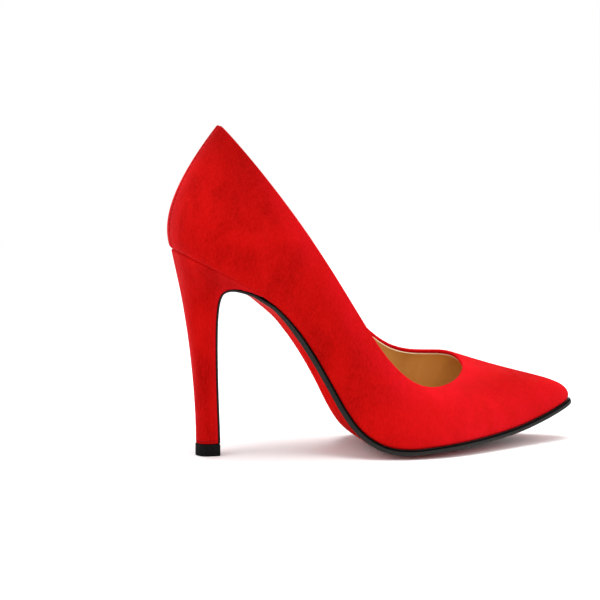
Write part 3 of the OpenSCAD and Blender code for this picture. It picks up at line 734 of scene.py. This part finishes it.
def tip_plan(u, r, c=4.5):
    v, s = np.abs(u), np.where(u < 0, -1.0, 1.0)
    k = (v - 0.6) / 0.4
    flat = np.stack([0.1 + (c - 0.1) * k, s * (r - 0.2 * k)], -1)
    a = np.radians(np.minimum(v, 0.6) * 150)
    round_ = np.stack([0.1 - r * np.cos(a), s * r * np.sin(a)], -1)
    return np.where((v > 0.6)[..., None], flat, round_)


def heel_face(u, j):
    """Outer face of the heel cover; u from -1 (outer corner) by 0 (back) to 1."""
    u, j = np.broadcast_arrays(np.asarray(u, float), np.asarray(j, float))
    s = np.where(u < 0, -1.0, 1.0)
    w = (1 - np.abs(u))[..., None]

    def seat(v, d):
        t = np.where(v < 0, -v * LIP_T, TURNS - v * LIP_T)
        return on_sole(inset(t, d + 0 * v), -0.15 + 0 * v)

    top, crown = seat(u, 0.6), seat(0 * u, 0.6)
    bot2 = tip_plan(u, TIP_R - 0.3)
    bot = np.concatenate([bot2, np.full((*u.shape, 1), HEEL_FOOT)], -1)

    def corner(jj):
        e = along(BREAST, jj)
        return np.stack([e[..., 0], s * e[..., 2], e[..., 1]], -1)

    def back(jj):
        z = along(BACK_Z, jj)[..., 0]
        k = np.clip((z - HEEL_FOOT) / (BACK_Z[0] - HEEL_FOOT), 0, None)
        x = -TIP_R + 0.4 + (crown[..., 0] + TIP_R - 0.4) * k ** 1.9
        return np.stack([x, 0 * z, z], -1)

    zero, last = 0 * j, 0 * j + 13
    fade = np.clip(along(FADE, j), 0, 1)
    more0 = top - (corner(zero) * (1 - w) + crown * w)
    more1 = bot - (corner(last) * (1 - w) + back(last) * w)
    p = corner(j) * (1 - w) + back(j) * w + more0 * fade + more1 * (1 - fade)
    return np.where((j <= 0)[..., None], top, p)


def sole_at(s):
    return WAIST + (SOLE - WAIST) * smooth(s, 140, 175) - 1.2 * (1 - smooth(s, 50, 80))


def out_by(s):
    return -WELT * smooth(s, 120, 160) - 0.1


def outsole():
    """The sole with its painted edge, from the toe to the foot of the heel breast."""
    t = np.r_[12.985, 12.95, 12.9, 12.84, 12.77, 12.69, 12.6, np.arange(12.5, 3.62, -0.1)]
    across = 31
    # Edge profile: height as a share of the thickness, and how far in.
    edge = [(0.0, 0.34), (0.05, 0.12), (0.13, 0.0), (0.3, -0.08), (0.5, -0.1),
            (0.7, -0.06), (0.85, 0.06), (0.94, 0.22), (1.0, 0.5)]
    s = rib(t)[:, 0]
    thick = sole_at(s)
    k = np.linspace(0, 1, across)
    left = [on_sole(inset(t, out_by(s) + e * np.ones(len(t))), -GLUE - f * thick) for f, e in edge]
    right = [on_sole(inset(TURNS - t, out_by(s) + e * np.ones(len(t))), -GLUE - f * thick)
             for f, e in edge]

    def fill(ts, e, h):
        p, q = inset(ts, out_by(s) + e), inset(TURNS - ts, out_by(s) + e)
        m = p[:, None] * (1 - k[None, 1:-1, None]) + q[:, None] * k[None, 1:-1, None]
        return on_sole(m, h[:, None] * np.ones(across - 2))

    top = fill(t, edge[0][1], -GLUE + 0 * thick)
    bot = fill(t, edge[-1][1], -GLUE - thick)
    main = np.concatenate([top[:, ::-1], np.stack(left, 1), bot, np.stack(right[::-1], 1)], 1)
    j = np.r_[1.0, np.arange(1.25, 13, 0.25), 13.0]
    ahead, behind = along(BREAST, np.minimum(j + 0.2, 13)), along(BREAST, np.maximum(j - 0.2, 0))
    d = (ahead - behind)[:, :2]
    d /= np.linalg.norm(d, axis=1, keepdims=True)
    n = np.stack([-d[:, 1], d[:, 0]], -1)
    flap = (sole_at(50) - 0.2) + (FLAP - sole_at(50) + 0.2) * smooth(j, 0, 5)

    lip = [heel_face(0 * j + u, j) for u in (-1, 1)]
    ease = np.minimum(1, flap / 2.2)

    def cross(y, h, inward=0.0):
        p = lip[0] * (0.5 - y / 2) + lip[1] * (0.5 + y / 2)
        p = p + np.stack([n[:, 0] * h, 0 * h, n[:, 1] * h], -1)
        p[:, 1] += y * (0.12 - inward * ease)
        return p

    left = [cross(-1, GLUE + f * flap, x) for f, x in edge]
    right = [cross(1, GLUE + f * flap, x) for f, x in edge]
    across_y = 2 * k[1:-1] - 1
    top = np.stack([cross(y, GLUE + 0 * flap, edge[0][1]) for y in across_y], 1)
    bot = np.stack([cross(y, GLUE + flap, edge[-1][1]) for y in across_y], 1)
    tail = np.concatenate([top[:, ::-1], np.stack(left, 1), bot, np.stack(right[::-1], 1)], 1)
    rings = np.concatenate([main, tail], 0)
    # Turned so that opposite points pair up across the section.
    m = rings.shape[1]
    rings = np.roll(rings, -((across - 2) + len(edge) // 2 + 1), axis=1)
    v, f, tags = loop_loft(rings)
    low_face = range(len(edge) - len(edge) // 2 - 1 - 1, len(edge) - len(edge) // 2 - 1 + across - 1)
    # The three faces at the top of each edge get a deeper black: painted shadow of the groove where the
    # sole meets the upper and the heel.
    first = len(edge) // 2 + 1
    groove_shade_faces = [m - first + q for q in range(3)] + [len(edge) - first + across - 2 + len(edge) - 2 - q
                                                 for q in range(3)]
    slot_of_face = [1 if kq in low_face else 2 if kq in groove_shade_faces else 0 for _, kq in tags]
    ob = make("outsole_leather", v, f, slots=[EDGE, RED, EDGE_GROOVE_SHADE], face_slots=slot_of_face)
    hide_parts("outsole")
    return ob


outsole()


def tread():
    """The forepart tread: thin rubber with a bevelled edge, flat where it meets the floor."""
    t = np.arange(8.0, 34 / 3 + 0.01, 1 / 15)
    across = 41
    s = rib(t)[:, 0]
    top = -2 * GLUE - sole_at(s)
    ends = np.minimum(1, np.minimum(np.arange(len(t)), np.arange(len(t))[::-1]) / 2.0)
    k = np.linspace(0, 1, across)

    def side(ts, share):
        p = inset(ts, 3 + 0 * ts)
        return p * (1 - share) + np.stack([p[:, 0], 0.5 + 0 * ts], -1) * share

    def line(share, h):
        p, q = side(t, share), side(TURNS - t, share)
        m = p[:, None] * (1 - k[None, :, None]) + q[:, None] * k[None, :, None]
        p = on_sole(m, h[:, None] * np.ones(across))
        p[..., 2] = np.maximum(p[..., 2], 0)
        return p

    full = TREAD + (TREAD_TOE - TREAD) * smooth(s, 175, 225)
    thick = 0.35 + (full - 0.35) * ends
    upper = line(0.3, top)
    lower = line(0.32, top - thick)
    flank = line(0.302, top - 0.7 * thick)
    rings = np.concatenate([upper, flank[:, -1:], lower[:, ::-1], flank[:, :1]], 1)
    rings = np.roll(rings, 1, axis=1)[:, ::-1]
    m = rings.shape[1]
    v, f, _ = loop_loft(rings, caps=False)
    f.append(tuple(range(m - 1, -1, -1)))
    f.append(tuple(range((len(t) - 1) * m, len(t) * m)))
    ob = make("tread_rubber", v, f, slots=[TREAD_M], smooth_by=35)
    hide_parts("tread_pad")
    return ob


tread()

# ------------------------------------------------------------- the heel


def heel_cover():
    """The suede round the heel, turned in at its top edge to leave a fine line."""
    u = np.r_[np.linspace(-1, -0.62, 18)[:-1], np.linspace(-0.62, 0.62, 61), np.linspace(0.62, 1, 18)[1:]]
    j = np.r_[0, 0.08, 0.25, 0.5, 0.75, np.arange(1, 13, 0.25), 12.7, 12.92, 13.0]
    g = heel_face(u[:, None], j[None, :])
    du, dj = np.gradient(g, axis=0), np.gradient(g, axis=1)
    n = np.cross(du, dj)
    n /= np.linalg.norm(n, axis=-1, keepdims=True)
    inner = g - COVER * n
    t = np.where(u < 0, -u * LIP_T, TURNS - u * LIP_T)
    inner[:, 0] = on_sole(inset(t, 2.2 + 0 * t), -0.15 + 0 * t)
    inner[:, 1] = inner[:, 0] * 0.5 + inner[:, 2] * 0.5
    inner[:, -1, 2] = HEEL_FOOT
    out = g.copy()
    out[:, -1] -= 0.22 * n[:, -1]
    down = (g[:, 3] - g[:, 0]) / np.linalg.norm(g[:, 3] - g[:, 0], axis=-1, keepdims=True)
    out[:, 0] += 0.4 * down - 1.25 * n[:, 1]
    out[:, 1] += 0.35 * down - 0.7 * n[:, 1]
    out[:, 2] += 0.25 * down - 0.25 * n[:, 2]
    inner[:, 0] += 0.6 * down
    inner[:, 1] += 0.6 * down
    v, f, _ = loop_loft(np.concatenate([out, inner[:, ::-1]], 1))
    ob = make("suede_heel_cover", v, f, slots=[SUEDE_HEEL])
    # Painted sheen: lighter along both front edges of the heel cover and down the middle of its back.
    edge = 1 - np.abs(u)[:, None] + 0 * np.r_[j, j]
    paint_sheen_and_shade(ob, 0.5 * np.exp(-(edge / 0.12) ** 2) + 0.3 * np.exp(-((edge - 1) / 0.25) ** 2))
    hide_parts("heel_cover")
    return ob


heel_cover()


def top_lift():
    """The rubber top piece: a D block with rounded corners and edges."""
    corner = 0.9
    front, r = 5.8, TIP_R
    path = []
    for a in np.linspace(90, 270, 49):
        path.append((0.1 + r * math.cos(math.radians(a)), r * math.sin(math.radians(a))))
    for x in np.linspace(0.6, front - corner, 8):
        path.append((x, -r))
    for a in np.linspace(-80, 0, 8):
        path.append((front - corner + corner * math.cos(math.radians(a)),
                     -r + corner + corner * math.sin(math.radians(a))))
    path += [(front, y) for y in np.linspace(-r + corner, r - corner, 13)[1:-1]]
    for a in np.linspace(0, 80, 8):
        path.append((front - corner + corner * math.cos(math.radians(a)),
                     r - corner + corner * math.sin(math.radians(a))))
    for x in np.linspace(front - corner, 0.6, 8):
        path.append((x, r))
    path = np.array(path)
    d = np.roll(path, -1, 0) - np.roll(path, 1, 0)
    n = np.stack([d[:, 1], -d[:, 0]], -1)
    n /= np.linalg.norm(n, axis=1, keepdims=True)
    levels = [(0.0, 0.75), (0.0, 0.42), (0.1, 0.2), (0.28, 0.06), (0.5, 0.0), (4.35, 0.0),
              (4.43, 0.07), (4.55, 0.07), (4.63, 0.0), (5.85, 0.02), (6.08, 0.1), (6.2, 0.28)]
    verts, faces = [], []
    m = len(path)
    for z, e in levels:
        verts += [(x, y, z) for x, y in path - n * e]
    for i in range(len(levels) - 1):
        for k in range(m):
            a, b = i * m + k, i * m + (k + 1) % m
            faces.append((a, b, b + m, a + m))
    faces.append(tuple(range(m - 1, -1, -1)))
    faces.append(tuple((len(levels) - 1) * m + k for k in range(m)))
    ob = make("heel_tip_rubber", verts, faces, body="top_piece", slots=[TIP_M], smooth_by=40)
    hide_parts("top_piece")
    return ob


top_lift()

# ---------------------------------------- carried-over CAD nodes' finish

FINISH = {
    "upper_backer": cloth("backer_cloth", (0.13, 0.004, 0.004), (0.09, 0.003, 0.003)),
    "topline_tape": cloth("tape_red", (0.15, 0.004, 0.004), (0.11, 0.003, 0.003)),
    "heel_counter": board("counter_board", (0.55, 0.45, 0.32), (0.45, 0.36, 0.24)),
    "toe_puff": board("puff_board", (0.62, 0.55, 0.42), (0.52, 0.45, 0.33)),
    "insole_board": board("insole_fibre", (0.48, 0.34, 0.19), (0.37, 0.25, 0.13)),
    "steel_shank": STEEL,
    "shank_rivets": STEEL,
    "bottom_filler": board("filler_cork", (0.38, 0.24, 0.13), (0.24, 0.14, 0.07)),
    "heel_core": plastic("heel_block", (0.05, 0.05, 0.055), (0.07, 0.07, 0.075)),
    "heel_pin_tube": STEEL,
    "heel_screw": STEEL,
    "heel_nails": STEEL,
    "top_piece_pin": STEEL,
}
FINISH["back_seam_tape"] = FINISH["side_seam_tape"] = FINISH["topline_tape"]
for node, mat in FINISH.items():
    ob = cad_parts[node]
    if not ob.material_slots:
        ob.data.materials.append(mat)
    for sl in ob.material_slots:
        sl.material = mat

# ------------------------------------------------------- floor and light

fm = material("floor_pale", (0.76, 0.76, 0.76), 0.75, Specular_IOR_Level=0.2)
fn = Nodes(fm)
fn.colour(fn.mix(fn.noise(1.3, 2, 0.5), (0.77, 0.77, 0.77), (0.75, 0.75, 0.75)))
fme = bpy.data.meshes.new("floor")
fme.from_pydata([(-0.9, -0.9, 0), (1.1, -0.9, 0), (1.1, 0.9, 0), (-0.9, 0.9, 0)], [], [(0, 1, 2, 3)])
fme.materials.append(fm)
floor = bpy.data.objects.new("floor", fme)
bpy.context.scene.collection.objects.link(floor)

world = bpy.data.worlds.new("studio")
world.use_nodes = True
world.node_tree.nodes["Background"].inputs[0].default_value = (1, 1, 1, 1)
world.node_tree.nodes["Background"].inputs[1].default_value = 1.0
bpy.context.scene.world = world
bpy.context.scene.view_settings.view_transform = "Standard"
bpy.context.scene.view_settings.look = "None"


def area(name, at, to, size, power, colour=(1, 1, 1)):
    d = bpy.data.lights.new(name, "AREA")
    d.shape = "RECTANGLE"
    d.size, d.size_y = size
    d.energy = power
    d.color = colour
    o = bpy.data.objects.new(name, d)
    o.location = at
    o.rotation_euler = (Vector(to) - Vector(at)).to_track_quat("-Z", "Y").to_euler()
    bpy.context.scene.collection.objects.link(o)


area("toe_side", (0.95, -0.75, 0.75), (0.1, 0, 0.05), (0.9, 0.9), 5)
area("heel_side", (-1.0, -0.35, 0.7), (0.0, 0, 0.08), (0.7, 0.9), 5)
area("above", (0.1, 0.05, 1.3), (0.08, 0, 0.05), (1.1, 0.8), 19)

# -------------------------------------------------------------- camera

cam = bpy.data.cameras.new("camera")
cam.lens = 152.2
cam.sensor_width = 36
cam_ob = bpy.data.objects.new("camera", cam)
bpy.context.scene.collection.objects.link(cam_ob)
yaw, pitch, roll = math.radians(15.4), math.radians(8.05), math.radians(0.38)
look = Vector((math.sin(yaw) * math.cos(pitch), math.cos(yaw) * math.cos(pitch),
               -math.sin(pitch)))
right = Vector((math.cos(yaw), -math.sin(yaw), 0))
up = right.cross(look)
right2 = right * math.cos(roll) + up * math.sin(roll)
up2 = right2.cross(look)
m = Matrix((right2, up2, -look)).transposed().to_4x4()
m.translation = (-0.2975, -1.2599, 0.2643)
cam_ob.matrix_world = m
bpy.context.scene.camera = cam_ob
